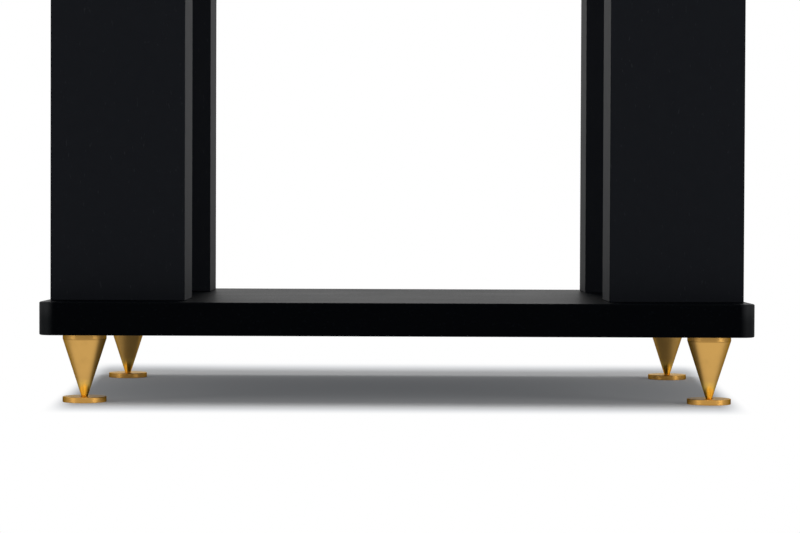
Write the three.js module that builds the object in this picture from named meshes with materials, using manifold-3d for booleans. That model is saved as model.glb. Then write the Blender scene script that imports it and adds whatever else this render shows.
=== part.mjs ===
// A speaker stand: a base plate and a top plate held apart by four upright pillars, on four
// turned brass spikes that screw into the base plate and stand on loose brass floor discs.
// Millimetres, +Z up, front towards -Y. The origin is on the floor, under the middle of the stand.

import * as THREE from 'three';
import { mergeVertices } from 'three/addons/utils/BufferGeometryUtils.js';
import Module from 'manifold-3d';

const wasm = await Module();
wasm.setup();

// ---- Driving dimensions ----

const STAND_HEIGHT = 600; // floor to the face that the speaker stands on

const PLATE_WIDTH = 386;
const PLATE_DEPTH = 260;
const PLATE_THICKNESS = 18;
const PLATE_CORNER_RADIUS = 8;
const PLATE_EASE = 0.8; // rounding of the long edges

const PILLAR_WIDTH = 73.5;
const PILLAR_DEPTH = 44;
const PILLAR_EASE = 0.5;
const PILLAR_SIDE_INSET = 3.4; // plate's side to the pillar's outer face
const PILLAR_FRONT_INSET = 24; // plate's front or rear edge to the pillar's face

const DISC_DIAMETER = 24;
const DISC_THICKNESS = 3;
const DISC_EASE = 0.35;
const DIMPLE_DEPTH = 0.7;

const SPIKE_DIAMETER = 24;
const SPIKE_COLLAR_HEIGHT = 3;
const SPIKE_CONE_HEIGHT = 32.2;
const SPIKE_TIP_DIAMETER = 2.8;
const SPIKE_EASE = 0.3;
const STUD_LENGTH = 14;
const FOOT_SIDE_INSET = 21.5; // plate's side to the spike's axis
const FOOT_FRONT_INSET = 29.5; // plate's front or rear edge to the spike's axis

const THREAD_DIAMETER = 8;
const THREAD_EASE = 0.8; // chamfer at the free end of each thread

const INSERT_DIAMETER = 12;
const PILLAR_INSERT_LENGTH = 20;
const FOOT_INSERT_LENGTH = 15;

const BOLT_SPACING_ACROSS = 34; // between the two bolts of a pillar, along X
const BOLT_SPACING_ALONG = 16; // and along Y, so that the pair lies on a diagonal
const BOLT_LENGTH = 35; // under the head
const BOLT_HEAD_DIAMETER = 13;
const BOLT_HEAD_HEIGHT = 8;
const BOLT_HEAD_EASE = 0.6;
const BOLT_SOCKET_WIDTH = 6; // across flats
const BOLT_SOCKET_DEPTH = 4;
const BOLT_HEAD_RECESS = 0.6; // head's face below the plate's underside
const WASHER_DIAMETER = 16;
const WASHER_THICKNESS = 1.6;

const SCREW_LENGTH = 40; // over all, head included
const SCREW_HEAD_DIAMETER = 16;
const SCREW_HEAD_RIM = 0.5; // straight rim above the countersunk cone
const SCREW_SOCKET_WIDTH = 5;
const SCREW_SOCKET_DEPTH = 3;
const SCREW_RECESS = 0.4; // head's face below the top plate's face

// ---- Clearances ----

const RADIAL_GAP = 0.3; // round anything that goes into a hole
const SEAT_GAP = 0.3; // under a spike's tip, and under a countersunk head
const COUNTERBORE_GAP = 1.2; // round a washer
const THROUGH_HOLE_GAP = 0.5; // round a bolt in a plate
const END_GAP = 5; // past the end of a bolt in its hole
const CUT_PAST = 1; // how far a cutting tool reaches past the face it opens

// ---- Numbers of sides ----

const FOOT_SIDES = 32;
const HARDWARE_SIDES = 12;
const HEX_SIDES = 6;
const CORNER_STEPS = 5;
const EASE_STEPS = 2;

// ---- Places worked out from the dimensions ----

const tipRadius = SPIKE_TIP_DIAMETER / 2;
const threadRadius = THREAD_DIAMETER / 2;
const pillarEndHoleRadius = INSERT_DIAMETER / 2 + RADIAL_GAP;
const throughHoleRadius = threadRadius + THROUGH_HOLE_GAP;

const tipHeight = DISC_THICKNESS - DIMPLE_DEPTH + SEAT_GAP;
const baseUnderside = tipHeight + SPIKE_CONE_HEIGHT + SPIKE_COLLAR_HEIGHT;
const baseTop = baseUnderside + PLATE_THICKNESS;
const topUnderside = STAND_HEIGHT - PLATE_THICKNESS;
const pillarHeight = topUnderside - baseTop;

const pillarX = PLATE_WIDTH / 2 - PILLAR_SIDE_INSET - PILLAR_WIDTH / 2;
const pillarY = PLATE_DEPTH / 2 - PILLAR_FRONT_INSET - PILLAR_DEPTH / 2;
const footX = PLATE_WIDTH / 2 - FOOT_SIDE_INSET;
const footY = PLATE_DEPTH / 2 - FOOT_FRONT_INSET;

const boltHeadBottom = baseUnderside + BOLT_HEAD_RECESS;
const washerBottom = boltHeadBottom + BOLT_HEAD_HEIGHT;
const washerTop = washerBottom + WASHER_THICKNESS;
const boltEnd = washerBottom + BOLT_LENGTH;
const screwTop = STAND_HEIGHT - SCREW_RECESS;
const screwEnd = screwTop - SCREW_LENGTH;

const screwHeadRadius = SCREW_HEAD_DIAMETER / 2;
const screwConeHeight = screwHeadRadius - threadRadius; // a right-angled countersink

// side is -1 on the left and 1 on the right; end is -1 at the front and 1 at the rear.
const corners = [
  { name: 'front_left', side: -1, end: -1 },
  { name: 'front_right', side: 1, end: -1 },
  { name: 'rear_left', side: -1, end: 1 },
  { name: 'rear_right', side: 1, end: 1 },
];

// The outer bolt lies further in from the front or rear edge, clear of the spike's collar.
function boltsOf(corner) {
  const x = corner.side * pillarX;
  const y = corner.end * pillarY;
  const across = (corner.side * BOLT_SPACING_ACROSS) / 2;
  const along = (corner.end * BOLT_SPACING_ALONG) / 2;
  return [
    { name: `${corner.name}_inner`, x: x - across, y: y + along },
    { name: `${corner.name}_outer`, x: x + across, y: y - along },
  ];
}

// ---- Finishes ----

const finishes = {
  plate: { color: 0x111316, roughness: 0.5, metalness: 0 },
  pillar: { color: 0x1a1c20, roughness: 0.55, metalness: 0 },
  brass: { color: 0xc09650, roughness: 0.3, metalness: 1 },
  blackSteel: { color: 0x2a2a2c, roughness: 0.45, metalness: 0.8 },
  zincSteel: { color: 0xa9abad, roughness: 0.35, metalness: 1 },
};

// ---- Solids ----

function solidOf(geometry) {
  geometry.deleteAttribute('normal');
  geometry.deleteAttribute('uv');
  const merged = mergeVertices(geometry, 1e-4);
  const corner = merged.index.array;
  const kept = [];
  for (let i = 0; i < corner.length; i += 3) {
    const [a, b, c] = [corner[i], corner[i + 1], corner[i + 2]];
    if (a !== b && b !== c && c !== a) kept.push(a, b, c);
  }
  const mesh = new wasm.Mesh({
    numProp: 3,
    vertProperties: new Float32Array(merged.attributes.position.array),
    triVerts: new Uint32Array(kept),
  });
  return new wasm.Manifold(mesh);
}

function geometryOf(solid) {
  const mesh = solid.getMesh();
  const geometry = new THREE.BufferGeometry();
  geometry.setAttribute('position', new THREE.BufferAttribute(mesh.vertProperties, 3));
  geometry.setIndex(new THREE.BufferAttribute(mesh.triVerts, 1));
  geometry.computeVertexNormals();
  return geometry;
}

// A profile is a list of [radius, height] from bottom to top, turned round Z.
function turned(profile, sides) {
  const points = profile.map(([radius, height]) => new THREE.Vector2(radius, height));
  const geometry = new THREE.LatheGeometry(points, sides);
  geometry.rotateX(Math.PI / 2);
  return solidOf(geometry);
}

function bore(x, y, bottom, top, radius, sides = HARDWARE_SIDES) {
  return turned([[0, bottom], [radius, bottom], [radius, top], [0, top]], sides).translate(x, y, 0);
}

function cutFrom(solid, tools) {
  return tools.reduce((left, tool) => left.subtract(tool), solid);
}

// An upright slab with rounded corners and eased edges, from z = 0 to its height.
function slab(width, depth, height, cornerRadius, ease, cornerSteps) {
  const halfWidth = width / 2 - ease;
  const halfDepth = depth / 2 - ease;
  const radius = Math.max(cornerRadius - ease, 0);
  const outline = new THREE.Shape();
  outline.moveTo(-halfWidth + radius, -halfDepth);
  outline.lineTo(halfWidth - radius, -halfDepth);
  outline.absarc(halfWidth - radius, -halfDepth + radius, radius, -Math.PI / 2, 0);
  outline.lineTo(halfWidth, halfDepth - radius);
  outline.absarc(halfWidth - radius, halfDepth - radius, radius, 0, Math.PI / 2);
  outline.lineTo(-halfWidth + radius, halfDepth);
  outline.absarc(-halfWidth + radius, halfDepth - radius, radius, Math.PI / 2, Math.PI);
  outline.lineTo(-halfWidth, -halfDepth + radius);
  outline.absarc(-halfWidth + radius, -halfDepth + radius, radius, Math.PI, Math.PI * 1.5);
  const geometry = new THREE.ExtrudeGeometry(outline, {
    depth: height - 2 * ease,
    curveSegments: cornerSteps,
    bevelThickness: ease,
    bevelSize: ease,
    bevelSegments: EASE_STEPS,
  });
  geometry.translate(0, 0, ease);
  return solidOf(geometry);
}

// ---- Pieces ----

function basePlate() {
  const blank = slab(
    PLATE_WIDTH, PLATE_DEPTH, PLATE_THICKNESS, PLATE_CORNER_RADIUS, PLATE_EASE, CORNER_STEPS);
  const headRoom = washerTop - baseUnderside;
  const tools = [];
  for (const corner of corners) {
    for (const { x, y } of boltsOf(corner)) {
      tools.push(bore(x, y, -CUT_PAST, headRoom, WASHER_DIAMETER / 2 + COUNTERBORE_GAP));
      tools.push(bore(x, y, 0, PLATE_THICKNESS + CUT_PAST, throughHoleRadius));
    }
    const [x, y] = [corner.side * footX, corner.end * footY];
    const depth = FOOT_INSERT_LENGTH + RADIAL_GAP;
    tools.push(bore(x, y, -CUT_PAST, depth, INSERT_DIAMETER / 2 + RADIAL_GAP));
  }
  return cutFrom(blank, tools);
}

function topPlate() {
  const blank = slab(
    PLATE_WIDTH, PLATE_DEPTH, PLATE_THICKNESS, PLATE_CORNER_RADIUS, PLATE_EASE, CORNER_STEPS);
  const mouth = screwHeadRadius + SEAT_GAP;
  const coneTop = PLATE_THICKNESS - SCREW_RECESS - SCREW_HEAD_RIM;
  const sink = [
    [0, coneTop - mouth],
    [mouth, coneTop],
    [mouth, PLATE_THICKNESS + CUT_PAST],
    [0, PLATE_THICKNESS + CUT_PAST],
  ];
  const tools = [];
  for (const corner of corners) {
    for (const { x, y } of boltsOf(corner)) {
      tools.push(turned(sink, HARDWARE_SIDES).translate(x, y, 0));
      tools.push(bore(x, y, -CUT_PAST, PLATE_THICKNESS, throughHoleRadius));
    }
  }
  return cutFrom(blank, tools);
}

// Each end is drilled for its two inserts, and deeper for the ends of the bolts.
function pillar(corner) {
  const blank = slab(PILLAR_WIDTH, PILLAR_DEPTH, pillarHeight, PILLAR_EASE, PILLAR_EASE, 1);
  const insertDepth = PILLAR_INSERT_LENGTH + RADIAL_GAP;
  const lowerDepth = boltEnd - baseTop + END_GAP;
  const upperDepth = topUnderside - screwEnd + END_GAP;
  const tools = [];
  for (const bolt of boltsOf(corner)) {
    const x = bolt.x - corner.side * pillarX;
    const y = bolt.y - corner.end * pillarY;
    const top = pillarHeight + CUT_PAST;
    tools.push(bore(x, y, -CUT_PAST, insertDepth, pillarEndHoleRadius));
    tools.push(bore(x, y, -CUT_PAST, lowerDepth, throughHoleRadius));
    tools.push(bore(x, y, pillarHeight - insertDepth, top, pillarEndHoleRadius));
    tools.push(bore(x, y, pillarHeight - upperDepth, top, throughHoleRadius));
  }
  return cutFrom(blank, tools);
}

// A plain bush whose bore stands for the thread, from z = 0 up.
function insert(length) {
  const inner = threadRadius + RADIAL_GAP;
  const blank = bore(0, 0, 0, length, INSERT_DIAMETER / 2);
  return cutFrom(blank, [bore(0, 0, -CUT_PAST, length + CUT_PAST, inner)]);
}

function washer() {
  const blank = bore(0, 0, 0, WASHER_THICKNESS, WASHER_DIAMETER / 2);
  const hole = bore(0, 0, -CUT_PAST, WASHER_THICKNESS + CUT_PAST, threadRadius + RADIAL_GAP);
  return cutFrom(blank, [hole]);
}

function hexSocket(acrossFlats, bottom, top) {
  return bore(0, 0, bottom, top, acrossFlats / Math.sqrt(3), HEX_SIDES);
}

// Head down, shank up. z = 0 is the face of the head.
function baseBolt() {
  const headRadius = BOLT_HEAD_DIAMETER / 2;
  const end = BOLT_HEAD_HEIGHT + BOLT_LENGTH;
  const profile = [
    [0, 0],
    [headRadius - BOLT_HEAD_EASE, 0],
    [headRadius, BOLT_HEAD_EASE],
    [headRadius, BOLT_HEAD_HEIGHT],
    [threadRadius, BOLT_HEAD_HEIGHT],
    [threadRadius, end - THREAD_EASE],
    [threadRadius - THREAD_EASE, end],
    [0, end],
  ];
  const socket = hexSocket(BOLT_SOCKET_WIDTH, -CUT_PAST, BOLT_SOCKET_DEPTH);
  return cutFrom(turned(profile, HARDWARE_SIDES), [socket]);
}

// Countersunk head up, shank down. z = 0 is the face of the head.
function topScrew() {
  const coneTop = -SCREW_HEAD_RIM;
  const coneBottom = coneTop - screwConeHeight;
  const profile = [
    [0, -SCREW_LENGTH],
    [threadRadius - THREAD_EASE, -SCREW_LENGTH],
    [threadRadius, THREAD_EASE - SCREW_LENGTH],
    [threadRadius, coneBottom],
    [screwHeadRadius, coneTop],
    [screwHeadRadius, 0],
    [0, 0],
  ];
  const socket = hexSocket(SCREW_SOCKET_WIDTH, -SCREW_SOCKET_DEPTH, CUT_PAST);
  return cutFrom(turned(profile, HARDWARE_SIDES), [socket]);
}

// A cone on its point, with a collar and a threaded stud above. z = 0 is the tip.
function spike() {
  const radius = SPIKE_DIAMETER / 2;
  const collarTop = SPIKE_CONE_HEIGHT + SPIKE_COLLAR_HEIGHT;
  const studTop = collarTop + STUD_LENGTH;
  const tipRound = tipRadius / 2;
  const profile = [
    [0, 0],
    [tipRound, 0],
    [tipRadius, tipRound],
    [radius, SPIKE_CONE_HEIGHT],
    [radius, collarTop - SPIKE_EASE],
    [radius - SPIKE_EASE, collarTop],
    [threadRadius, collarTop],
    [threadRadius, studTop - THREAD_EASE],
    [threadRadius - THREAD_EASE, studTop],
    [0, studTop],
  ];
  return turned(profile, FOOT_SIDES);
}

// The dimple is wider than the spike is at the disc's face.
function floorDisc() {
  const radius = DISC_DIAMETER / 2;
  const coneSlope = (SPIKE_DIAMETER / 2 - tipRadius) / SPIKE_CONE_HEIGHT;
  const dimpleFloor = tipRadius + RADIAL_GAP;
  const dimpleMouth = dimpleFloor + coneSlope * DIMPLE_DEPTH + RADIAL_GAP;
  const profile = [
    [0, 0],
    [radius - DISC_EASE, 0],
    [radius, DISC_EASE],
    [radius, DISC_THICKNESS - DISC_EASE],
    [radius - DISC_EASE, DISC_THICKNESS],
    [dimpleMouth, DISC_THICKNESS],
    [dimpleFloor, DISC_THICKNESS - DIMPLE_DEPTH],
    [0, DISC_THICKNESS - DIMPLE_DEPTH],
  ];
  return turned(profile, FOOT_SIDES);
}

// ---- Assembly ----

const stand = new THREE.Group();

function place(name, solid, finish, x, y, z) {
  const mesh = new THREE.Mesh(geometryOf(solid), new THREE.MeshStandardMaterial(finish));
  mesh.name = name;
  mesh.position.set(x, y, z);
  stand.add(mesh);
}

place('base_plate', basePlate(), finishes.plate, 0, 0, baseUnderside);
place('top_plate', topPlate(), finishes.plate, 0, 0, topUnderside);

for (const corner of corners) {
  const { name, side, end } = corner;
  const upright = pillar(corner);
  place(`pillar_${name}`, upright, finishes.pillar, side * pillarX, end * pillarY, baseTop);

  for (const { name: bolt, x, y } of boltsOf(corner)) {
    const upperInsertBottom = topUnderside - PILLAR_INSERT_LENGTH;
    place(`base_bolt_${bolt}`, baseBolt(), finishes.blackSteel, x, y, boltHeadBottom);
    place(`base_washer_${bolt}`, washer(), finishes.zincSteel, x, y, washerBottom);
    place(`lower_insert_${bolt}`, insert(PILLAR_INSERT_LENGTH), finishes.zincSteel, x, y, baseTop);
    place(
      `upper_insert_${bolt}`, insert(PILLAR_INSERT_LENGTH), finishes.zincSteel,
      x, y, upperInsertBottom);
    place(`top_screw_${bolt}`, topScrew(), finishes.blackSteel, x, y, screwTop);
  }

  const [x, y] = [side * footX, end * footY];
  place(`foot_insert_${name}`, insert(FOOT_INSERT_LENGTH), finishes.zincSteel, x, y, baseUnderside);
  place(`spike_${name}`, spike(), finishes.brass, x, y, tipHeight);
  place(`floor_disc_${name}`, floorDisc(), finishes.brass, x, y, 0);
}

export default stand;
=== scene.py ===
"""A speaker stand, dressed for a studio picture.

Two black boards, four uprights and four turned brass spikes on loose floor discs, with the
bolts, washers, screws and threaded inserts that hold them together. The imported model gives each
piece's place and outer size, and each new piece is fitted to it. Metres, +Z up, front towards -Y.
"""

import math

import bmesh
import bpy
from bpy.props import FloatProperty, FloatVectorProperty, PointerProperty
from bpy.types import Operator, Panel, PropertyGroup
from mathutils import Matrix, Vector


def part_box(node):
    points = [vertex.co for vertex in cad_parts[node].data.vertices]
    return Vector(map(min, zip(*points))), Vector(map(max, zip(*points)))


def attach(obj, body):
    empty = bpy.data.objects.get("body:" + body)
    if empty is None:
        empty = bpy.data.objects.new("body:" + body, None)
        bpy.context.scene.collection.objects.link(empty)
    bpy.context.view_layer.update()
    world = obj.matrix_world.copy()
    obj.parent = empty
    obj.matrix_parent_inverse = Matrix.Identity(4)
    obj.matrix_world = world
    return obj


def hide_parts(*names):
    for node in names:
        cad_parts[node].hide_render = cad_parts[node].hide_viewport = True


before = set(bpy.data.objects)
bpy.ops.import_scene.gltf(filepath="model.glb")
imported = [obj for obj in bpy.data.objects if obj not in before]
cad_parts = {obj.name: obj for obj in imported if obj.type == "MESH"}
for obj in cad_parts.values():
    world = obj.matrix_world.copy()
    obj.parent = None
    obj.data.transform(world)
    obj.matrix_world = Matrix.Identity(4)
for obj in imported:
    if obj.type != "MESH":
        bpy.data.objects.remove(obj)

bl_info = {
    "name": "Speaker stand",
    "version": (1, 0, 0),
    "blender": (4, 5, 0),
    "location": "3D View > Sidebar > Speaker stand",
    "description": "Models and finishes a speaker stand on turned brass spikes",
    "category": "Object",
}

MM = 0.001

CORNERS = ("front_left", "front_right", "rear_left", "rear_right")
BOLTS = [f"{corner}_{place}" for corner in CORNERS for place in ("inner", "outer")]

# Clearances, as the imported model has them.
RADIAL_GAP = 0.3 * MM  # round anything that goes into a hole
SEAT_GAP = 0.3 * MM  # under a countersunk head
COUNTERBORE_GAP = 1.2 * MM  # round a washer
THROUGH_HOLE_GAP = 0.5 * MM  # round a bolt in a board
END_GAP = 5 * MM  # past the end of a bolt in its hole
CUT_PAST = 1 * MM  # how far a cutter reaches past the face it opens

# Small shapes of the turned and threaded pieces.
THREAD_DEPTH = 0.61  # depth of a screw thread, as a share of its pitch
THREAD_RUN = 0.8 * MM  # from a thread's last turn to the end face or neck it runs into
SOCKET_MOUTH = 0.25 * MM  # chamfer at the mouth of a key socket
SOCKET_POINT = 0.8 * MM  # drill point under a key socket
KNURL_DEPTH = 0.15 * MM

# Distances under which points count as one.
SAME_POINT = 0.0005 * MM
SAME_THREAD_POINT = 0.002 * MM
SAME_HEIGHT = 0.01 * MM

# Numbers of steps.
BRASS_STEPS = 96  # round a spike or a disc
STEEL_STEPS = 48  # round a thread, a washer, an insert or a hole
HEAD_STEPS = 2 * STEEL_STEPS  # round the head of a bolt or a screw
CORNER_STEPS = 12  # round an upright corner of a board
ARRIS_STEPS = 4  # across an eased edge
HEX_SIDES = 6

SHARP_ANGLE = math.radians(15)  # edges that turn more than this are shaded as edges
ARRIS_ANGLE = math.radians(60)  # edges that turn more than this are eased

STAND_BODY = "stand"


# ---- Sizes and colours that a user would change ----


def size(name, description, default):
    """A length property."""
    return FloatProperty(
        name=name, description=description, default=default, min=0, unit="LENGTH", precision=5)


def share(name, description, default):
    """A property from 0 to 1."""
    return FloatProperty(
        name=name, description=description, default=default, min=0, max=1, subtype="FACTOR")


def colour(name, description, default):
    """A linear colour property."""
    return FloatVectorProperty(
        name=name, description=description, default=default, min=0, max=1, subtype="COLOR")


def power(name, description, default):
    """The power of a lamp."""
    return FloatProperty(
        name=name, description=description, default=default, min=0, unit="POWER")


def fade(name, description, default):
    """Two distances, where something starts and where it has ended."""
    return FloatVectorProperty(
        name=name, description=description, default=default, size=2, unit="LENGTH", precision=5)


def sides(name, description, default):
    """The two sides of a softbox."""
    return FloatVectorProperty(
        name=name, description=description, default=default, size=2, min=0, unit="LENGTH")


def point(name, description, default):
    """A point in the scene."""
    return FloatVectorProperty(
        name=name, description=description, default=default, subtype="TRANSLATION", unit="LENGTH")


def angle(name, description, degrees):
    """An angle, given in degrees."""
    return FloatProperty(
        name=name, description=description, default=math.radians(degrees), subtype="ANGLE")


class BoardSettings(PropertyGroup):
    """The base board and the top board."""

    corner_radius: size("Corner radius", "Rounding of the upright corners", 8 * MM)
    arris: size("Edge rounding", "Rounding of the long edges", 0.8 * MM)
    mouth: size("Hole chamfer", "Chamfer at the mouth of each hole", 0.3 * MM)
    colour: colour("Colour", "Body colour of the textured lacquer", (0.0001, 0.0003, 0.0007))
    fleck: colour("Fleck colour", "Colour of the fine flecks", (0.0020, 0.0028, 0.0040))
    # Painted highlight: the next four settings lighten the rounded upright corners of both boards, most
    # near the top, in place of the side lamps' reflections.
    worn_and_highlighted: colour("Rubbed colour", "Colour of the rubbed corners", (0.0110, 0.0120, 0.0130))
    top_corner_highlight: colour("Handled colour", "Colour of the corners that are rubbed most", (0.026, 0.027, 0.0285))
    top_highlight_from: fade("Handled from", "Height where that begins", (45 * MM, 54 * MM))
    corner_highlight_from: fade("Rubbed from", "How far round a corner the rubbing runs", (-1.0 * MM, 3.6 * MM))
    grain: size("Grain", "Size of the lacquer's pebbles", 0.7 * MM)
    relief: size("Relief", "Height of the pebbles", 0.05 * MM)
    cloud: size("Cloud", "Size of the soft changes in gloss", 60 * MM)
    roughness: share("Roughness", "Mean roughness of the lacquer", 0.38)
    specular: share("Specular level", "Strength of the lacquer's reflections", 0.013)


class UprightSettings(PropertyGroup):
    """The four uprights."""

    arris: size("Edge rounding", "Rounding of every edge", 0.5 * MM)
    colour: colour("Colour", "Body colour of the satin film", (0.0076, 0.0086, 0.0109))
    shade: colour("Grain colour", "Colour in the hollows of the grain", (0.0050, 0.0058, 0.0078))
    speck: colour("Speck colour", "Colour of the sparse specks", (0.0130, 0.0145, 0.0170))
    grain: size("Grain", "Size of the film's grain", 0.45 * MM)
    relief: size("Relief", "Height of the grain", 0.03 * MM)
    cloud: size("Cloud", "Size of the soft changes in tone", 7 * MM)
    speck_size: size("Speck size", "Width of the specks", 1.1 * MM)
    roughness: share("Roughness", "Mean roughness of the film", 0.55)
    specular: share("Specular level", "Strength of the film's reflections", 0.040)


class BrassSettings(PropertyGroup):
    """The spikes and the floor discs."""

    collar_height: size("Collar height", "Straight collar above a spike's cone", 3 * MM)
    collar_ease: size("Collar chamfer", "Chamfer at the top of the collar", 0.3 * MM)
    tip_radius: size("Tip radius", "Radius of a spike's cut-off point", 1.7 * MM)
    tip_ease: size("Tip chamfer", "Chamfer round the point", 0.25 * MM)
    stud_length: size("Stud length", "Threaded stud above the collar", 14 * MM)
    disc_ease: size("Disc chamfer", "Chamfer round both faces of a disc", 0.22 * MM)
    dimple_depth: size("Dimple depth", "Hollow that the tip stands in", 0.7 * MM)
    dimple_radius: size("Dimple radius", "Flat floor of the dimple", 1.9 * MM)
    colour: colour("Colour", "Colour of the turned brass", (0.588, 0.338, 0.094))
    disc_colour: colour("Disc colour", "Colour of the discs' polished tops", (0.860, 0.580, 0.180))
    # Painted highlight: each spike's point is given this brighter brass, which fades into the body colour
    # between the two heights set below.
    tip_highlight_colour: colour("Tip colour", "Colour of the spikes' polished points", (0.860, 0.560, 0.120))
    # Painted shade: the spikes' collars and the discs' rims, their upright outer faces, are given a darker
    # brass than the rest.
    collar_colour: colour("Collar colour", "Colour of the spikes' collars", (0.400, 0.222, 0.058))
    rim_colour: colour("Rim colour", "Colour of the discs' rims", (0.480, 0.255, 0.062))
    tip_highlight: fade("Polish", "Heights between which a spike's polish ends", (7 * MM, 14 * MM))
    tarnish: share("Tarnish", "How much darker the brass is where it has dulled", 0.07)
    cloud: size("Cloud", "Size of the dulled patches", 9 * MM)
    line: size("Turning lines", "Spacing of the lines left by the lathe", 0.12 * MM)
    relief: size("Relief", "Depth of the turning lines", 0.002 * MM)
    roughness: share("Roughness", "Mean roughness of the brass", 0.3)


class SteelSettings(PropertyGroup):
    """Bolts, screws, washers and inserts."""

    thread_radius: size("Thread radius", "Outer radius of every screw thread", 4 * MM)
    pitch: size("Thread pitch", "Rise of the thread in one turn", 1.25 * MM)
    bolt_length: size("Bolt length", "Length of a base bolt under its head", 35 * MM)
    bolt_head_ease: size("Bolt head chamfer", "Chamfer round a bolt's face", 0.6 * MM)
    bolt_socket: size("Bolt socket", "Key size of a base bolt", 6 * MM)
    bolt_socket_depth: size("Bolt socket depth", "Depth of the key socket", 4 * MM)
    screw_rim: size("Screw rim", "Straight rim above a countersunk cone", 0.5 * MM)
    screw_shank: size("Screw shank", "Plain shank under a countersunk cone", 4 * MM)
    screw_socket: size("Screw socket", "Key size of a top screw", 5 * MM)
    screw_socket_depth: size("Screw socket depth", "Depth of the key socket", 3 * MM)
    insert_pitch: size("Insert pitch", "Rise of an insert's outer thread", 2.5 * MM)
    black: colour("Black steel", "Colour of the blackened bolts", (0.020, 0.020, 0.022))
    zinc: colour("Zinc", "Colour of the plated washers and inserts", (0.58, 0.60, 0.62))
    zinc_tint: colour("Zinc tint", "Colour of the film on the plating", (0.60, 0.57, 0.46))


class StageSettings(PropertyGroup):
    """Floor, light and camera."""

    background: colour("Background", "Colour of the backdrop and of the lit floor", (1, 1, 1))
    floor: colour("Floor", "Colour of the matt floor", (0.8, 0.8, 0.8))
    # Painted shade: the slabs' upright sides are darkened by this share, so that where a slab has gone
    # down the sides look about as dark as the shadow round them.
    slab_side_shade: share("Slab sides", "Tone of the floor slabs' sides beside their tops", 0.4)
    sky: share("Sky light", "Soft light from all round", 0.25)
    overhead: power("Overhead softbox", "Power of the softbox overhead", 20.5)
    overhead_sides: sides("Overhead sides", "Width and length of that softbox", (0.7, 2.2))
    overhead_place: point("Overhead place", "Where it hangs", (0, -0.25, 1.6))
    left: power("Left softbox", "Power of the low softbox on the left", 2.6)
    right: power("Right softbox", "Power of the low softbox on the right", 4.2)
    low_sides: sides("Low sides", "Width and height of the low softboxes", (0.5, 0.6))
    low_place: point("Low place", "Where the right one stands", (1.25, -0.85, 0.3))
    haze: share("Haze", "How much the shadow is lightened", 0.098)
    haze_colour: colour("Haze colour", "Colour that the shadow is lightened with", (0.90, 0.94, 1.0))
    side_fade: fade("Side fade", "Where the shadow ends at the sides", (-13 * MM, 4 * MM))
    front_fade: fade("Front fade", "Where the shadow ends in front", (-8 * MM, 51 * MM))
    rear_fade: fade("Rear fade", "Where the shadow ends behind", (26 * MM, 130 * MM))
    mirror_fade: fade("Mirror fade", "Where it ends in what the brass shows", (-40 * MM, -5 * MM))
    splay: share("Splay", "How much the shadow widens towards the back", 0.06)
    lens: FloatProperty(
        name="Lens", description="Focal length", default=104.0, min=1, unit="CAMERA")
    camera: point("Camera place", "Where it stands", (2.8 * MM, -1368.8 * MM, 99.8 * MM))
    pitch: angle("Pitch", "How far the camera looks down", 1.124)
    roll: angle("Roll", "How far the camera leans", 0.217)
    yaw: angle("Yaw", "How far the camera turns to its left", 0.056)


# ---- Shader maths ----


class Wire:
    """A node's output that works in sums as a number does."""

    def __init__(self, tree, socket):
        self.tree = tree
        self.socket = socket

    def maths(self, operation, *values):
        sockets = dict(enumerate(values))
        return self.tree.wire("Math", {"operation": operation}, sockets)

    def __add__(self, other):
        return self.maths("ADD", self, other)

    def __radd__(self, other):
        return self.maths("ADD", other, self)

    def __sub__(self, other):
        return self.maths("SUBTRACT", self, other)

    def __rsub__(self, other):
        return self.maths("SUBTRACT", other, self)

    def __mul__(self, other):
        return self.maths("MULTIPLY", self, other)

    def __rmul__(self, other):
        return self.maths("MULTIPLY", other, self)

    def __pow__(self, other):
        return self.maths("POWER", self, other)

    def __abs__(self):
        return self.maths("ABSOLUTE", self)

    def at_least(self, other):
        return self.maths("MAXIMUM", self, other)

    def at_most(self, other):
        return self.maths("MINIMUM", self, other)


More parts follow.
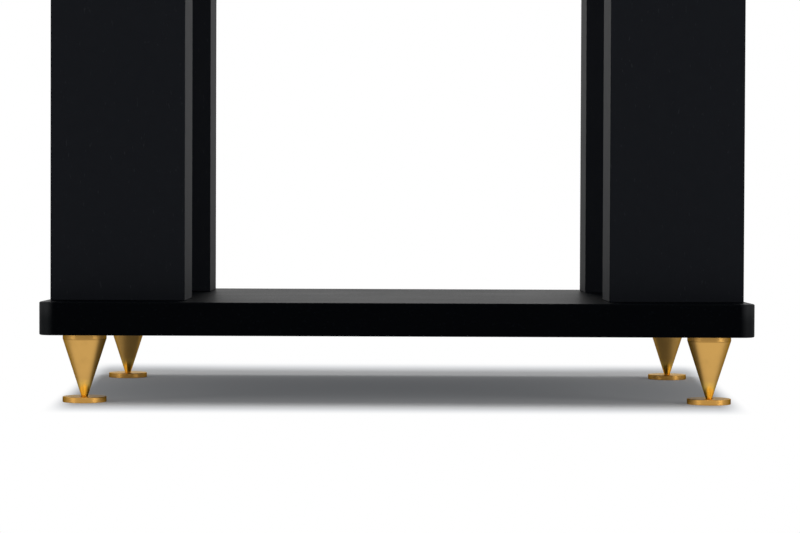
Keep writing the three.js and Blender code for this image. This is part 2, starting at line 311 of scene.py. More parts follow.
class Tree:
    """The nodes of a material or of the world."""

    def __init__(self, owner):
        owner.use_nodes = True
        self.tree = owner.node_tree
        self.tree.nodes.clear()

    def node(self, kind, settings=None, sockets=None):
        """Makes one node: its settings first, then its sockets' values or links."""
        made = self.tree.nodes.new("ShaderNode" + kind)
        for name, value in (settings or {}).items():
            setattr(made, name, value)
        for name, value in (sockets or {}).items():
            if isinstance(value, Wire):
                self.tree.links.new(value.socket, made.inputs[name])
            else:
                made.inputs[name].default_value = value
        return made

    def wire(self, kind, settings=None, sockets=None, output=0):
        """Makes one node and gives one of its outputs."""
        return Wire(self, self.node(kind, settings, sockets).outputs[output])

    def place(self):
        """The point on the piece, in metres."""
        return self.wire("TexCoord", output="Object")

    def parts_of(self, vector):
        """X, Y and Z of a vector."""
        apart = self.node("SeparateXYZ", sockets={"Vector": vector})
        return [Wire(self, out) for out in apart.outputs]

    def noise(self, vector, feature, detail=2.0, roughness=0.5):
        """Soft noise from 0 to 1 whose blobs are about one feature across."""
        sockets = {
            "Vector": vector, "Scale": 1 / feature, "Detail": detail, "Roughness": roughness}
        return self.wire("TexNoise", sockets=sockets)

    def pebbles(self, vector, feature):
        """Distance to the nearest pebble's middle, as a share of a pebble's size."""
        sockets = {"Vector": vector, "Scale": 1 / feature}
        return self.wire("TexVoronoi", {"feature": "F1"}, sockets, "Distance")

    def ramp(self, value, low, high):
        """0 below low, 1 above high, and a smooth step between."""
        settings = {"interpolation_type": "SMOOTHSTEP"}
        sockets = {"Value": value, "From Min": low, "From Max": high}
        return self.wire("MapRange", settings, sockets)

    def mix(self, factor, first, second):
        """A colour between two colours."""
        colours = [c if isinstance(c, Wire) else (*c, 1) for c in (first, second)]
        sockets = {0: factor, 6: colours[0], 7: colours[1]}
        return self.wire("Mix", {"data_type": "RGBA"}, sockets, 2)

    def bump(self, height, distance, strength):
        """A normal for a height from 0 to 1 that stands for a distance."""
        sockets = {"Height": height, "Distance": distance, "Strength": strength}
        return self.wire("Bump", sockets=sockets)

    def surface(self, shader):
        """Ends the material with a shader."""
        self.node("OutputMaterial", sockets={"Surface": shader})

    def ray(self, kind):
        """1 for rays of one kind."""
        return self.wire("LightPath", output=kind)

    def seen(self):
        """1 where the camera looks, also by way of a reflection or through glass."""
        through = self.ray("Is Transmission Ray")
        return (self.ray("Is Camera Ray") + self.mirrored() + through).at_most(1.0)

    def mirrored(self):
        """1 where the camera looks by way of a reflection."""
        return self.ray("Is Glossy Ray") * (1 - self.ray("Diffuse Depth").at_most(1.0))


def finish(name, paint):
    """A material by name, painted the first time it is asked for."""
    material = bpy.data.materials.get(name)
    if material is None:
        material = bpy.data.materials.new(name)
        paint(Tree(material))
    return material


# ---- Finishes ----

# The parts of a noise from 0 to 1 over which each of these fades in.
FLECK_PEAKS = (0.62, 0.74)
SPECK_PEAKS = (0.69, 0.82)
TARNISH_PEAKS = (0.45, 0.75)
RUBBED_PEAKS = (0.5, 0.8)
ZINC_TINT_PEAKS = (0.4, 0.7)

SPECK_SQUEEZE = 0.3  # makes the uprights' specks taller than they are wide
BRASS_GLANCE = (0.5, 0.4, 0.25)  # tint of the brass where it is seen at a glancing angle


def board_lacquer():
    """Deep black textured lacquer: a fine pebble, sparse flecks and a painted highlight on the rounded
    upright corners.
    """

    def paint(tree):
        settings = bpy.context.scene.stand_boards
        place = tree.place()
        x, y, z = tree.parts_of(place)
        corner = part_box("base_plate")[1] - Vector((1, 1, 0)) * settings.corner_radius
        # Painted highlight on the rounded upright corners, mottled by the dust noise, brighter near the
        # top of the base board and over the whole top board.
        round_corner = (abs(x) - corner.x).at_most(abs(y) - corner.y)
        worn_and_highlighted = tree.ramp(round_corner, *settings.corner_highlight_from)
        corner_highlight_colour = tree.mix(tree.ramp(z, *settings.top_highlight_from), settings.worn_and_highlighted, settings.top_corner_highlight)
        pebble = tree.pebbles(place, settings.grain)
        dust = tree.noise(place, settings.grain / 2, detail=3)
        cloud = tree.noise(place, settings.cloud, detail=2)
        fleck_size = settings.grain * 1.7
        fleck = tree.ramp(tree.noise(place, fleck_size, detail=1), *FLECK_PEAKS)
        height = (1 - pebble) * 0.7 + dust * 0.3
        smoothest = settings.roughness - 0.06
        body = tree.mix(fleck * 0.8 + cloud * 0.2, settings.colour, settings.fleck)
        corner_highlight_mask = worn_and_highlighted * (dust * 0.8 + 0.6)
        shader = tree.wire("BsdfPrincipled", sockets={
            "Base Color": tree.mix(corner_highlight_mask, body, corner_highlight_colour),
            "Roughness": smoothest + dust * 0.08 + cloud * 0.08 - fleck * 0.12,
            "Specular IOR Level": settings.specular,
            "Normal": tree.bump(height, settings.relief, 0.5),
        })
        tree.surface(shader)

    return finish("black textured lacquer", paint)


def upright_film():
    """Satin black film with a fine, even grain, a little bluer than the boards."""

    def paint(tree):
        settings = bpy.context.scene.stand_uprights
        place = tree.place()
        grain = tree.noise(place, settings.grain, detail=3, roughness=0.6)
        pores = tree.pebbles(place, settings.grain * 1.6)
        cloud = tree.noise(place, settings.cloud, detail=3)
        squeezed = {0: place, 1: (1, 1, SPECK_SQUEEZE)}
        upright = tree.wire("VectorMath", {"operation": "MULTIPLY"}, squeezed)
        speck = tree.ramp(tree.noise(upright, settings.speck_size, detail=1), *SPECK_PEAKS)
        film = tree.mix(grain * 0.4 + cloud * 0.6, settings.shade, settings.colour)
        smoothest = settings.roughness - 0.07
        height = grain * 0.6 + pores * 0.4
        shader = tree.wire("BsdfPrincipled", sockets={
            "Base Color": tree.mix(speck, film, settings.speck),
            "Roughness": smoothest + grain * 0.08 + cloud * 0.06,
            "Specular IOR Level": settings.specular,
            "Normal": tree.bump(height, settings.relief, 0.4),
        })
        tree.surface(shader)

    return finish("black satin film", paint)


def turned_brass(name, brass, rim, tip):
    """Satin brass with the fine rings that a lathe leaves round each foot's axis."""

    def paint(tree):
        settings = bpy.context.scene.stand_brass
        place = tree.place()
        x, y, z = tree.parts_of(place)
        foot = centre_of("spike_rear_right")
        across = abs(x) - foot.x
        along = abs(y) - foot.y
        radius = (across * across + along * along) ** 0.5
        rings = tree.wire(
            "TexNoise", {"noise_dimensions": "1D"},
            {"W": radius + z, "Scale": 1 / settings.line, "Detail": 2.0})
        cloud = tree.noise(place, settings.cloud, detail=3)
        tarnish = tree.ramp(cloud, *TARNISH_PEAKS)
        dull = [channel * (1 - settings.tarnish) for channel in brass]
        full = half_width("spike_rear_right")
        # Painted shade: the upright outer face at full radius, on a spike the collar and on a disc the
        # rim, takes the darker rim colour.
        outside = tree.ramp(radius, full - 0.25 * MM, full - 0.1 * MM)
        above = tree.mix(tarnish, brass, dull)
        # Painted highlight: brighter brass low down round each spike's point. The discs lie wholly below
        # these heights and keep their own colour.
        body = tree.mix(tree.ramp(z, *settings.tip_highlight), tip, above)
        smoothest = settings.roughness - 0.03
        shader = tree.wire("BsdfPrincipled", sockets={
            "Base Color": tree.mix(outside, body, rim),
            "Metallic": 1.0,
            "Specular Tint": (*BRASS_GLANCE, 1),
            "Roughness": smoothest + rings * 0.04 + tarnish * 0.04,
            "Normal": tree.bump(rings, settings.relief, 0.4),
        })
        tree.surface(shader)

    return finish(name, paint)


def black_steel():
    """Oil-blackened steel, worn a little brighter in places."""

    def paint(tree):
        settings = bpy.context.scene.stand_steel
        place = tree.place()
        cloud = tree.noise(place, 4 * MM, detail=3)
        dust = tree.noise(place, 0.3 * MM, detail=2)
        # Worn patches on the steel: brighter and smoother where the cloud noise is high.
        worn_and_highlighted = tree.ramp(cloud, *RUBBED_PEAKS)
        bright = [channel * 2.2 for channel in settings.black]
        shader = tree.wire("BsdfPrincipled", sockets={
            "Base Color": tree.mix(worn_and_highlighted, settings.black, bright),
            "Metallic": 0.7,
            "Roughness": 0.46 + dust * 0.1 - worn_and_highlighted * 0.1,
            "Normal": tree.bump(dust, 0.01 * MM, 0.4),
        })
        tree.surface(shader)

    return finish("blackened steel", paint)


def zinc_steel():
    """Bright zinc plating with a thin straw-coloured film."""

    def paint(tree):
        settings = bpy.context.scene.stand_steel
        place = tree.place()
        cloud = tree.noise(place, 5 * MM, detail=2)
        spangle = tree.pebbles(place, 0.8 * MM)
        tinted = tree.ramp(cloud, *ZINC_TINT_PEAKS)
        shader = tree.wire("BsdfPrincipled", sockets={
            "Base Color": tree.mix(tinted, settings.zinc, settings.zinc_tint),
            "Metallic": 1.0,
            "Roughness": 0.3 + spangle * 0.1,
            "Normal": tree.bump(spangle, 0.006 * MM, 0.4),
        })
        tree.surface(shader)

    return finish("zinc-plated steel", paint)


# ---- Shaping ----


def centre_of(node):
    """The middle of a CAD node's box."""
    low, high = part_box(node)
    return (low + high) / 2


def foot_of(node):
    """The point on a CAD node's axis at its lowest height."""
    low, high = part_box(node)
    return Vector(((low.x + high.x) / 2, (low.y + high.y) / 2, low.z))


def height_of(node):
    """A CAD node's size along Z."""
    low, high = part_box(node)
    return high.z - low.z


def half_width(node):
    """Half of a CAD node's size along X: the radius of a turned one."""
    low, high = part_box(node)
    return (high.x - low.x) / 2


def turn(bm, profile, steps, closed=False):
    """Turns a profile of (radius, height) points once round Z."""
    points = [bm.verts.new((radius, 0, height)) for radius, height in profile]
    pairs = list(zip(points, points[1:]))
    if closed:
        pairs.append((points[-1], points[0]))
    edges = [bm.edges.new(pair) for pair in pairs]
    bmesh.ops.spin(
        bm, geom=points + edges, cent=(0, 0, 0), axis=(0, 0, 1), angle=math.tau, steps=steps,
        use_merge=True)
    bmesh.ops.remove_doubles(bm, verts=bm.verts, dist=SAME_POINT)


def at_height(edge, height):
    """Whether an edge lies level at a height."""
    return all(abs(vert.co.z - height) < SAME_HEIGHT for vert in edge.verts)


def open_rim(bm, height):
    """The open edges that lie at a height."""
    return [e for e in bm.edges if len(e.link_faces) < 2 and at_height(e, height)]


def wind_thread(bm, bottom, top, radius, depth, pitch):
    """Winds a screw thread up Z and trims it level, with a rim left open at each end."""
    root = radius - depth
    start = bottom - 1.5 * pitch  # the first turns are trimmed off
    ridge = [(root, 0), (radius, 3 / 8), (radius, 1 / 2), (root, 7 / 8), (root, 1)]
    points = [bm.verts.new((r, 0, start + rise * pitch)) for r, rise in ridge]
    edges = [bm.edges.new(pair) for pair in zip(points, points[1:])]
    bmesh.ops.spin(
        bm, geom=points + edges, cent=(0, 0, 0), axis=(0, 0, 1), dvec=(0, 0, pitch / STEEL_STEPS),
        angle=math.tau, steps=STEEL_STEPS, use_merge=False)
    one_turn = bm.verts[:] + bm.edges[:] + bm.faces[:]
    for turn_up in range(1, math.ceil((top - start) / pitch) + 1):
        copy = bmesh.ops.duplicate(bm, geom=one_turn)["geom"]
        raised = [item for item in copy if isinstance(item, bmesh.types.BMVert)]
        bmesh.ops.translate(bm, verts=raised, vec=(0, 0, turn_up * pitch))
    bmesh.ops.remove_doubles(bm, verts=bm.verts, dist=SAME_THREAD_POINT)
    for height, above in ((bottom, False), (top, True)):
        bmesh.ops.bisect_plane(
            bm, geom=bm.verts[:] + bm.edges[:] + bm.faces[:], dist=SAME_POINT,
            plane_co=(0, 0, height), plane_no=(0, 0, 1), clear_inner=not above,
            clear_outer=above)


def join_rims(bm, first, second):
    """Bridges two open rims."""
    bmesh.ops.bridge_loops(bm, edges=open_rim(bm, first) + open_rim(bm, second))


def cap(bm, radius, height, below):
    """Closes the rim at the height below with a round end face."""
    bmesh.ops.create_circle(
        bm, segments=STEEL_STEPS, radius=radius, cap_ends=False,
        matrix=Matrix.Translation((0, 0, height)))
    join_rims(bm, below, height)
    bmesh.ops.holes_fill(bm, edges=open_rim(bm, height), sides=0)


def key_socket(bm, across_flats, depth, face, inward):
    """Sinks a hexagon into the open rim of a head's face. Inward is 1 up or -1 down."""
    start = face + inward * SOCKET_MOUTH
    bmesh.ops.create_circle(
        bm, segments=HEX_SIDES, radius=across_flats / math.sqrt(3), cap_ends=False,
        matrix=Matrix.Translation((0, 0, start)))
    mouth = open_rim(bm, start)
    bmesh.ops.bridge_loops(bm, edges=open_rim(bm, face) + mouth)
    walls = bmesh.ops.extrude_edge_only(bm, edges=mouth)["geom"]
    floor = [item for item in walls if isinstance(item, bmesh.types.BMVert)]
    bmesh.ops.translate(bm, verts=floor, vec=(0, 0, inward * (depth - SOCKET_MOUTH)))
    rim = [item for item in walls if isinstance(item, bmesh.types.BMEdge)]
    rim = [edge for edge in rim if all(v in floor for v in edge.verts)]
    closed = bmesh.ops.holes_fill(bm, edges=rim, sides=0)["faces"]
    point = bmesh.ops.poke(bm, faces=closed)["verts"]
    bmesh.ops.translate(bm, verts=point, vec=(0, 0, inward * SOCKET_POINT))


def block(bm, low, high, corner_radius, arris):
    """A block with rounded upright corners and eased edges."""
    scale = Matrix.Diagonal((*(high - low), 1))
    bmesh.ops.create_cube(bm, size=1, matrix=Matrix.Translation((low + high) / 2) @ scale)
    upright = [e for e in bm.edges if abs(e.verts[0].co.z - e.verts[1].co.z) > arris]
    if corner_radius > arris:
        bmesh.ops.bevel(
            bm, geom=upright, offset=corner_radius, offset_type="OFFSET", segments=CORNER_STEPS,
            profile=0.5, affect="EDGES", material=-1)
    sharp = [edge for edge in bm.edges if edge.calc_face_angle(0) > ARRIS_ANGLE]
    bmesh.ops.bevel(
        bm, geom=sharp, offset=arris, offset_type="OFFSET", segments=ARRIS_STEPS, profile=0.5,
        affect="EDGES", material=-1)


# ---- Making pieces ----


def piece_of(name, bm, material):
    """Turns a bmesh into an object at the origin, in place of an older one of that name."""
    old = bpy.data.objects.get(name)
    if old:
        bpy.data.objects.remove(old)
    bmesh.ops.recalc_face_normals(bm, faces=bm.faces)
    mesh = bpy.data.meshes.new(name)
    bm.to_mesh(mesh)
    bm.free()
    mesh.materials.append(material)
    piece = bpy.data.objects.new(name, mesh)
    bpy.context.scene.collection.objects.link(piece)
    return piece


def fit(piece, body, node):
    """Shades a finished piece, rides it on its body and lets it stand for its CAD node."""
    piece.data.shade_smooth()
    piece.data.set_sharp_from_angle(angle=SHARP_ANGLE)
    weighted = piece.modifiers.new("flat faces stay flat", "WEIGHTED_NORMAL")
    weighted.keep_sharp = True
    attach(piece, body)
    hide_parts(node)


def drill(piece, holes):
    """Cuts holes out of a piece for good. Each hole is (x, y, profile of radius and height)."""
    bm = bmesh.new()
    for x, y, profile in holes:
        hole = bmesh.new()
        turn(hole, profile, STEEL_STEPS)
        bmesh.ops.translate(hole, verts=hole.verts, vec=(x, y, 0))
        mesh = bpy.data.meshes.new("hole")
        hole.to_mesh(mesh)
        hole.free()
        bm.from_mesh(mesh)
        bpy.data.meshes.remove(mesh)
    cutter = piece_of("cutter", bm, piece.data.materials[0])
    cut = piece.modifiers.new("holes", "BOOLEAN")
    cut.operation = "DIFFERENCE"
    cut.solver = "EXACT"
    cut.object = cutter
    depsgraph = bpy.context.evaluated_depsgraph_get()
    drilled = bpy.data.meshes.new_from_object(piece.evaluated_get(depsgraph))
    piece.modifiers.clear()
    piece.data = drilled
    bpy.data.objects.remove(cutter)


def spread(template, material, rows):
    """Stands a copy of a template on each node's foot. Each row is (piece, body, node)."""
    mesh = bpy.data.meshes.new("template")
    template.to_mesh(mesh)
    template.free()
    for name, body, node in rows:
        bm = bmesh.new()
        bm.from_mesh(mesh)
        bmesh.ops.translate(bm, verts=bm.verts, vec=foot_of(node))
        fit(piece_of(name, bm, material), body, node)
    bpy.data.meshes.remove(mesh)


# ---- Operators ----


class STAND_OT_stage(Operator):
    """Make the backdrop, the floor, the soft light and the camera"""

    bl_idname = "stand.stage"
    bl_label = "Stage"

    def execute(self, context):
        settings = context.scene.stand_stage
        self.backdrop(context, settings)
        self.floor(context, settings)
        self.light(context, settings)
        self.camera(context, settings)
        view = context.scene.view_settings
        view.view_transform = "Standard"
        return {"FINISHED"}

    def backdrop(self, context, settings):
        world = bpy.data.worlds.new("studio")
        context.scene.world = world
        tree = Tree(world)
        strength = settings.sky + tree.seen() * (1 - settings.sky)
        backdrop = tree.wire("Background", sockets={
            "Color": (*settings.background, 1), "Strength": strength})
        tree.node("OutputWorld", sockets={"Surface": backdrop})

    def floor(self, context, settings):
        """Four slabs that meet under the stand.

        Each slab rides with the disc that stands on it, so it goes down with that disc.
        """
        reach, depth = 40, 10 * MM
        scale = Matrix.Diagonal((reach, reach, depth, 1))
        for corner in CORNERS:
            disc = foot_of(f"floor_disc_{corner}")
            outer = Vector((math.copysign(reach, disc.x), math.copysign(reach, disc.y), -depth))
            bm = bmesh.new()
            bmesh.ops.create_cube(bm, size=1, matrix=Matrix.Translation(outer / 2) @ scale)
            floor = piece_of(f"floor_{corner}", bm, self.floor_paint(settings))
            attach(floor, f"disc_{corner}")

    def floor_paint(self, settings):
        """A matt floor that the camera sees as white away from the stand's shadow."""

        def paint(tree):
            low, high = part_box("base_plate")
            x, y, _ = tree.parts_of(tree.place())
            side = tree.ramp(abs(x) - high.x - y * settings.splay, *settings.side_fade)
            front = tree.ramp(low.y - y, *settings.front_fade)
            rear = tree.ramp(y - high.y, *settings.rear_fade)
            mirror = tree.ramp(low.y - y, *settings.mirror_fade)
            shadow = (1 - side) * (1 - front) * (1 - rear)
            away = (1 - shadow) * tree.ray("Is Camera Ray")
            away = away.at_least(mirror * tree.mirrored())
            away = away * (1 - settings.haze) + settings.haze
            # Painted shade: the slabs' upright sides are darker than their tops.
            upward = tree.parts_of(tree.wire("NewGeometry", output="Normal"))[2]
            side_shade_tone = [channel * settings.slab_side_shade for channel in settings.floor]
            tone = tree.mix(abs(upward), side_shade_tone, settings.floor)
            matt = tree.wire("BsdfDiffuse", sockets={"Color": tone})
            white = tree.wire("Emission", sockets={
                "Color": tree.mix(away, settings.haze_colour, settings.background)})
            both = tree.wire("MixShader", sockets={0: tree.seen() * away, 1: matt, 2: white})
            tree.surface(both)

        return finish("studio floor", paint)

    def light(self, context, settings):
        """One softbox overhead, aimed at the base board, and a level one on each side in front."""
        foot = centre_of("base_plate")
        overhead = Vector(settings.overhead_place)
        self.softbox(context, "overhead", settings.overhead, settings.overhead_sides, overhead, foot)
        for name, watts, side in (("left", settings.left, -1), ("right", settings.right, 1)):
            low = Vector(settings.low_place) * Vector((side, 1, 1))
            level = Vector((foot.x, foot.y, low.z))
            self.softbox(context, name, watts, settings.low_sides, low, level)

    def softbox(self, context, name, watts, lamp_sides, lamp_place, aim):
        lamp = bpy.data.lights.new(f"softbox_{name}", "AREA")
        lamp.shape = "RECTANGLE"
        lamp.size, lamp.size_y = lamp_sides
        lamp.energy = watts
        softbox = bpy.data.objects.new(lamp.name, lamp)
        softbox.location = lamp_place
        softbox.rotation_euler = (lamp_place - aim).to_track_quat("Z", "Y").to_euler()
        softbox.visible_camera = False
        context.scene.collection.objects.link(softbox)

    def camera(self, context, settings):
        lens = bpy.data.cameras.new("camera")
        lens.lens = settings.lens
        camera = bpy.data.objects.new("camera", lens)
        turned = Matrix.Rotation(settings.yaw, 4, "Z")
        tipped = Matrix.Rotation(math.pi / 2 - settings.pitch, 4, "X")
        leaned = Matrix.Rotation(settings.roll, 4, "Z")
        camera.matrix_world = Matrix.Translation(settings.camera) @ turned @ tipped @ leaned
        context.scene.collection.objects.link(camera)
        context.scene.camera = camera


class STAND_OT_boards(Operator):
    """Make the base board and the top board, drilled for their bolts, screws and inserts"""

    bl_idname = "stand.boards"
    bl_label = "Boards"

    def execute(self, context):
        settings = context.scene.stand_boards
        thread = context.scene.stand_steel.thread_radius
        self.make("base_plate", "lower_board", settings, self.base_holes(settings, thread))
        rim = context.scene.stand_steel.screw_rim
        self.make("top_plate", "upper_board", settings, self.top_holes(settings, thread, rim))
        return {"FINISHED"}

    def make(self, node, name, settings, holes):
        bm = bmesh.new()
        block(bm, *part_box(node), settings.corner_radius, settings.arris)
        board = piece_of(name, bm, board_lacquer())
        drill(board, holes)
        fit(board, STAND_BODY, node)

    def base_holes(self, settings, thread):
        """Counterbored bolt holes, and blind holes for the spikes' inserts."""
        low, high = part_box("base_plate")
        below = low.z - CUT_PAST
        wide = half_width("base_washer_front_left_inner") + COUNTERBORE_GAP
        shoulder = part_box("base_washer_front_left_inner")[1].z
        narrow = thread + THROUGH_HOLE_GAP
        bolt_hole = [
            (0, below),
            (wide + settings.mouth + CUT_PAST, below),
            (wide, low.z + settings.mouth),
            (wide, shoulder),
            (narrow, shoulder),
            (narrow, high.z + CUT_PAST),
            (0, high.z + CUT_PAST),
        ]
        insert = half_width("foot_insert_front_left") + RADIAL_GAP
        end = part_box("foot_insert_front_left")[1].z + RADIAL_GAP
        foot_hole = [
            (0, below),
            (insert + settings.mouth + CUT_PAST, below),
            (insert, low.z + settings.mouth),
            (insert, end),
            (0, end),
        ]
        bolts = [centre_of(f"base_bolt_{bolt}") for bolt in BOLTS]
        feet = [centre_of(f"foot_insert_{corner}") for corner in CORNERS]
        holes = [(place.x, place.y, bolt_hole) for place in bolts]
        return holes + [(place.x, place.y, foot_hole) for place in feet]

    def top_holes(self, settings, thread, rim):
        """Countersunk screw holes."""
        low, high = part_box("top_plate")
        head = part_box("top_screw_front_left_inner")[1].z
        wide = half_width("top_screw_front_left_inner") + SEAT_GAP
        narrow = thread + THROUGH_HOLE_GAP
        cone_top = head - rim
        hole = [
            (0, low.z - CUT_PAST),
            (narrow, low.z - CUT_PAST),
            (narrow, cone_top - (wide - narrow)),
            (wide, cone_top),
            (wide, high.z - settings.mouth),
            (wide + settings.mouth + CUT_PAST, high.z + CUT_PAST),
            (0, high.z + CUT_PAST),
        ]
        places = [centre_of(f"top_screw_{bolt}") for bolt in BOLTS]
        return [(place.x, place.y, hole) for place in places]


class STAND_OT_uprights(Operator):
    """Make the four uprights, drilled at both ends"""

    bl_idname = "stand.uprights"
    bl_label = "Uprights"

    def execute(self, context):
        settings = context.scene.stand_uprights
        thread = context.scene.stand_steel.thread_radius
        for corner in CORNERS:
            bm = bmesh.new()
            block(bm, *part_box(f"pillar_{corner}"), settings.arris, settings.arris)
            upright = piece_of(f"upright_{corner}", bm, upright_film())
            drill(upright, self.holes(corner, thread + THROUGH_HOLE_GAP))
            fit(upright, STAND_BODY, f"pillar_{corner}")
        return {"FINISHED"}

    def holes(self, corner, narrow):
        """Two holes in each end: wide for the insert, then narrow for the end of the bolt."""
        made = []
        for place in ("inner", "outer"):
            bolt = f"{corner}_{place}"
            lower_low, lower_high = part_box(f"lower_insert_{bolt}")
            upper_low, upper_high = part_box(f"upper_insert_{bolt}")
            wide = half_width(f"lower_insert_{bolt}") + RADIAL_GAP
            centre = centre_of(f"lower_insert_{bolt}")
            bolt_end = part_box(f"base_bolt_{bolt}")[1].z + END_GAP
            screw_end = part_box(f"top_screw_{bolt}")[0].z - END_GAP
            made.append((centre.x, centre.y, [
                (0, lower_low.z - CUT_PAST),
                (wide, lower_low.z - CUT_PAST),
                (wide, lower_high.z + RADIAL_GAP),
                (narrow, lower_high.z + RADIAL_GAP),
                (narrow, bolt_end),
                (0, bolt_end),
            ]))
            made.append((centre.x, centre.y, [
                (0, screw_end),
                (narrow, screw_end),
                (narrow, upper_low.z - RADIAL_GAP),
                (wide, upper_low.z - RADIAL_GAP),
                (wide, upper_high.z + CUT_PAST),
                (0, upper_high.z + CUT_PAST),
            ]))
        return made


class STAND_OT_base_bolts(Operator):
    """Make the socket head bolts that come up through the base board"""

    bl_idname = "stand.base_bolts"
    bl_label = "Base bolts"

    def execute(self, context):
        settings = context.scene.stand_steel
        node = "base_bolt_front_left_inner"
        length = height_of(node)
        head = half_width(node)
        under = length - settings.bolt_length
        thread = settings.thread_radius
        depth = THREAD_DEPTH * settings.pitch
        thread_start = under + settings.bolt_length * 0.4
        thread_end = length - THREAD_RUN
        neck = thread_start - THREAD_RUN
        bm = bmesh.new()
        wind_thread(bm, thread_start, thread_end, thread, depth, settings.pitch)
        cap(bm, thread - THREAD_RUN, length, thread_end)
        turn(bm, [
            (settings.bolt_socket / 2 + 0.75 * MM, 0),
            (head - settings.bolt_head_ease, 0),
            (head, settings.bolt_head_ease),
            (head, under - 0.2 * MM),
            (head - 0.2 * MM, under),
            (thread + 0.3 * MM, under),
            (thread, under + 0.3 * MM),
            (thread, neck - 0.6 * MM),
            (thread - depth, neck),
        ], HEAD_STEPS)
        self.knurl(bm, head, settings.bolt_head_ease + 0.6 * MM, under - 0.8 * MM)
        join_rims(bm, neck, thread_start)
        key_socket(bm, settings.bolt_socket, settings.bolt_socket_depth, 0, 1)
        rows = [(f"cap_bolt_{bolt}", STAND_BODY, f"base_bolt_{bolt}") for bolt in BOLTS]
        spread(bm, black_steel(), rows)
        return {"FINISHED"}

    def knurl(self, bm, radius, bottom, top):
        """Presses every second line of the head's side in, between two heights."""
        near = 0.1 * MM
        for height in (bottom, top):
            side = [f for f in bm.faces if abs(f.calc_center_median().xy.length - radius) < near]
            geom = side + [e for f in side for e in f.edges] + [v for f in side for v in f.verts]
            bmesh.ops.bisect_plane(
                bm, geom=list(set(geom)), dist=SAME_POINT, plane_co=(0, 0, height),
                plane_no=(0, 0, 1))
        step = math.tau / HEAD_STEPS
        pressed = [
            vert for vert in bm.verts
            if abs(vert.co.xy.length - radius) < near / 2
            and bottom - SAME_HEIGHT < vert.co.z < top + SAME_HEIGHT
            and round(math.atan2(vert.co.y, vert.co.x) / step) % 2]
        shrink = 1 - KNURL_DEPTH / radius
        bmesh.ops.scale(bm, verts=pressed, vec=(shrink, shrink, 1))


class STAND_OT_washers(Operator):
    """Make the washers under the base bolts' heads"""

    bl_idname = "stand.washers"
    bl_label = "Washers"

    def execute(self, context):
        node = "base_washer_front_left_inner"
        outer = half_width(node)
        inner = context.scene.stand_steel.thread_radius + RADIAL_GAP
        thickness = height_of(node)
        ease = 0.2 * MM
        bm = bmesh.new()
        turn(bm, [
            (inner, ease),
            (inner + ease, 0),
            (outer - ease, 0),
            (outer, ease),
            (outer, thickness - ease),
            (outer - ease, thickness),
            (inner + ease, thickness),
            (inner, thickness - ease),
        ], STEEL_STEPS, closed=True)
        rows = [(f"flat_washer_{bolt}", STAND_BODY, f"base_washer_{bolt}") for bolt in BOLTS]
        spread(bm, zinc_steel(), rows)
        return {"FINISHED"}


class STAND_OT_top_screws(Operator):
    """Make the countersunk screws that go down through the top board"""

    bl_idname = "stand.top_screws"
    bl_label = "Top screws"

    def execute(self, context):
        settings = context.scene.stand_steel
        node = "top_screw_front_left_inner"
        length = height_of(node)
        head = half_width(node)
        thread = settings.thread_radius
        depth = THREAD_DEPTH * settings.pitch
        cone_top = length - settings.screw_rim
        cone_bottom = cone_top - (head - thread)
        thread_end = cone_bottom - settings.screw_shank
        neck = thread_end + THREAD_RUN
        bm = bmesh.new()
        wind_thread(bm, THREAD_RUN, thread_end, thread, depth, settings.pitch)
        cap(bm, thread - THREAD_RUN, 0, THREAD_RUN)
        turn(bm, [
            (thread - depth, neck),
            (thread, neck + 0.6 * MM),
            (thread, cone_bottom),
            (head, cone_top),
            (head, length - 0.15 * MM),
            (head - 0.15 * MM, length),
            (settings.screw_socket / 2 + 0.65 * MM, length),
        ], HEAD_STEPS)
        join_rims(bm, thread_end, neck)
        key_socket(bm, settings.screw_socket, settings.screw_socket_depth, length, -1)
        rows = [(f"countersunk_screw_{bolt}", STAND_BODY, f"top_screw_{bolt}") for bolt in BOLTS]
        spread(bm, black_steel(), rows)
        return {"FINISHED"}


class STAND_OT_inserts(Operator):
    """Make the threaded inserts in the uprights' ends and under the base board"""

    bl_idname = "stand.inserts"
    bl_label = "Inserts"

    def execute(self, context):
        settings = context.scene.stand_steel
        lower = [f"lower_insert_{bolt}" for bolt in BOLTS]
        upper = [f"upper_insert_{bolt}" for bolt in BOLTS]
        feet = [f"foot_insert_{corner}" for corner in CORNERS]
        for nodes in (lower, upper, feet):
            self.make(nodes, settings)
        return {"FINISHED"}

    def make(self, nodes, settings):
        """A bush with a coarse thread outside and a chamfered bore."""
        length = height_of(nodes[0])
        outer = half_width(nodes[0])
        pitch = settings.insert_pitch
        depth = THREAD_DEPTH * pitch / 2
        root = outer - depth
        bore = settings.thread_radius + RADIAL_GAP
        ease = 0.4 * MM
        end = 1.2 * MM  # from the thread's last turn to the end face
        shoulder = end - 0.3 * MM
        bm = bmesh.new()
        wind_thread(bm, end, length - end, outer, depth, pitch)
        turn(bm, [
            (root, shoulder),
            (root, ease),
            (root - ease, 0),
            (bore + ease / 2, 0),
            (bore, ease / 2),
            (bore, length - ease / 2),
            (bore + ease / 2, length),
            (root - ease, length),
            (root, length - ease),
            (root, length - shoulder),
        ], STEEL_STEPS)
        join_rims(bm, shoulder, end)
        join_rims(bm, length - end, length - shoulder)
        rows = [(node.replace("insert", "bush"), STAND_BODY, node) for node in nodes]
        spread(bm, zinc_steel(), rows)


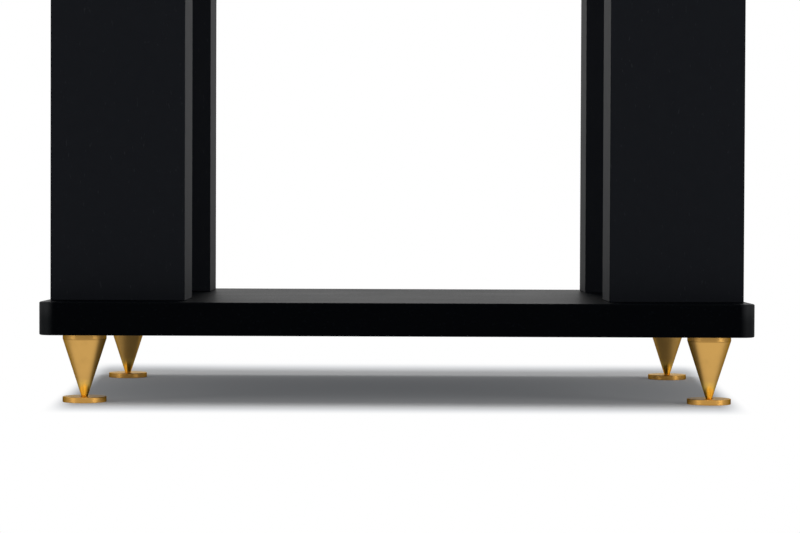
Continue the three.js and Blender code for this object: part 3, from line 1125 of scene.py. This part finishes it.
class STAND_OT_spikes(Operator):
    """Make the turned spikes: a cut-off cone, a collar and a threaded stud"""

    bl_idname = "stand.spikes"
    bl_label = "Spikes"

    def execute(self, context):
        settings = context.scene.stand_brass
        steel = context.scene.stand_steel
        stud_top = height_of("spike_front_left")
        collar_top = stud_top - settings.stud_length
        cone_top = collar_top - settings.collar_height
        radius = half_width("spike_front_left")
        ease = settings.collar_ease
        thread = steel.thread_radius
        depth = THREAD_DEPTH * steel.pitch
        neck_top = collar_top + 0.8 * MM
        thread_start = neck_top + 0.5 * MM
        thread_end = stud_top - THREAD_RUN
        bm = bmesh.new()
        wind_thread(bm, thread_start, thread_end, thread, depth, steel.pitch)
        cap(bm, thread - THREAD_RUN, stud_top, thread_end)
        turn(bm, [
            (0, 0),
            (settings.tip_radius - settings.tip_ease, 0),
            (settings.tip_radius, settings.tip_ease),
            (radius, cone_top),
            (radius, collar_top - ease),
            (radius - ease * 0.35, collar_top - ease * 0.3),
            (radius - ease, collar_top),
            (thread - depth, collar_top),
            (thread - depth, neck_top),
        ], BRASS_STEPS)
        join_rims(bm, neck_top, thread_start)
        brass = turned_brass(
            "turned brass", settings.colour, settings.collar_colour, settings.tip_highlight_colour)
        rows = [(f"turned_spike_{c}", f"spike_{c}", f"spike_{c}") for c in CORNERS]
        spread(bm, brass, rows)
        return {"FINISHED"}


class STAND_OT_discs(Operator):
    """Make the loose floor discs, each with a dimple for a spike's point"""

    bl_idname = "stand.discs"
    bl_label = "Floor discs"

    def execute(self, context):
        settings = context.scene.stand_brass
        thickness = height_of("floor_disc_front_left")
        radius = half_width("floor_disc_front_left")
        ease = settings.disc_ease
        floor = thickness - settings.dimple_depth
        mouth = settings.dimple_radius + 0.53 * MM
        bm = bmesh.new()
        turn(bm, [
            (0, 0),
            (radius - ease, 0),
            (radius - ease * 0.3, ease * 0.3),
            (radius, ease),
            (radius, thickness - ease),
            (radius - ease * 0.3, thickness - ease * 0.3),
            (radius - ease, thickness),
            (mouth + 0.1 * MM, thickness),
            (mouth - 0.05 * MM, thickness - 0.1 * MM),
            (settings.dimple_radius, floor + 0.1 * MM),
            (settings.dimple_radius - 0.2 * MM, floor),
            (0, floor),
        ], BRASS_STEPS)
        brass = turned_brass(
            "turned brass of the discs", settings.disc_colour, settings.rim_colour,
            settings.disc_colour)
        rows = [(f"turned_disc_{c}", f"disc_{c}", f"floor_disc_{c}") for c in CORNERS]
        spread(bm, brass, rows)
        return {"FINISHED"}


# ---- Panel and registration ----

STEPS = (
    STAND_OT_stage, STAND_OT_boards, STAND_OT_uprights, STAND_OT_base_bolts, STAND_OT_washers,
    STAND_OT_top_screws, STAND_OT_inserts, STAND_OT_spikes, STAND_OT_discs)

GROUPS = {
    "stand_stage": StageSettings,
    "stand_boards": BoardSettings,
    "stand_uprights": UprightSettings,
    "stand_brass": BrassSettings,
    "stand_steel": SteelSettings,
}


class VIEW3D_PT_stand(Panel):
    """Lists the settings and the steps that make the stand"""

    bl_label = "Speaker stand"
    bl_idname = "VIEW3D_PT_stand"
    bl_space_type = "VIEW_3D"
    bl_region_type = "UI"
    bl_category = "Speaker stand"

    def draw(self, context):
        for name, group in GROUPS.items():
            box = self.layout.box()
            box.label(text=name.replace("_", " ").capitalize())
            for setting in group.__annotations__:
                box.prop(getattr(context.scene, name), setting)
        for step in STEPS:
            self.layout.operator(step.bl_idname)


CLASSES = (*GROUPS.values(), *STEPS, VIEW3D_PT_stand)


def register():
    for cls in CLASSES:
        bpy.utils.register_class(cls)
    for name, group in GROUPS.items():
        setattr(bpy.types.Scene, name, PointerProperty(type=group))


def unregister():
    for name in GROUPS:
        delattr(bpy.types.Scene, name)
    for cls in reversed(CLASSES):
        bpy.utils.unregister_class(cls)


def main():
    """Makes the whole stand."""
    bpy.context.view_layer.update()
    register()
    bpy.ops.stand.stage()
    bpy.ops.stand.boards()
    bpy.ops.stand.uprights()
    bpy.ops.stand.base_bolts()
    bpy.ops.stand.washers()
    bpy.ops.stand.top_screws()
    bpy.ops.stand.inserts()
    bpy.ops.stand.spikes()
    bpy.ops.stand.discs()


if __name__ == "__main__":
    main()
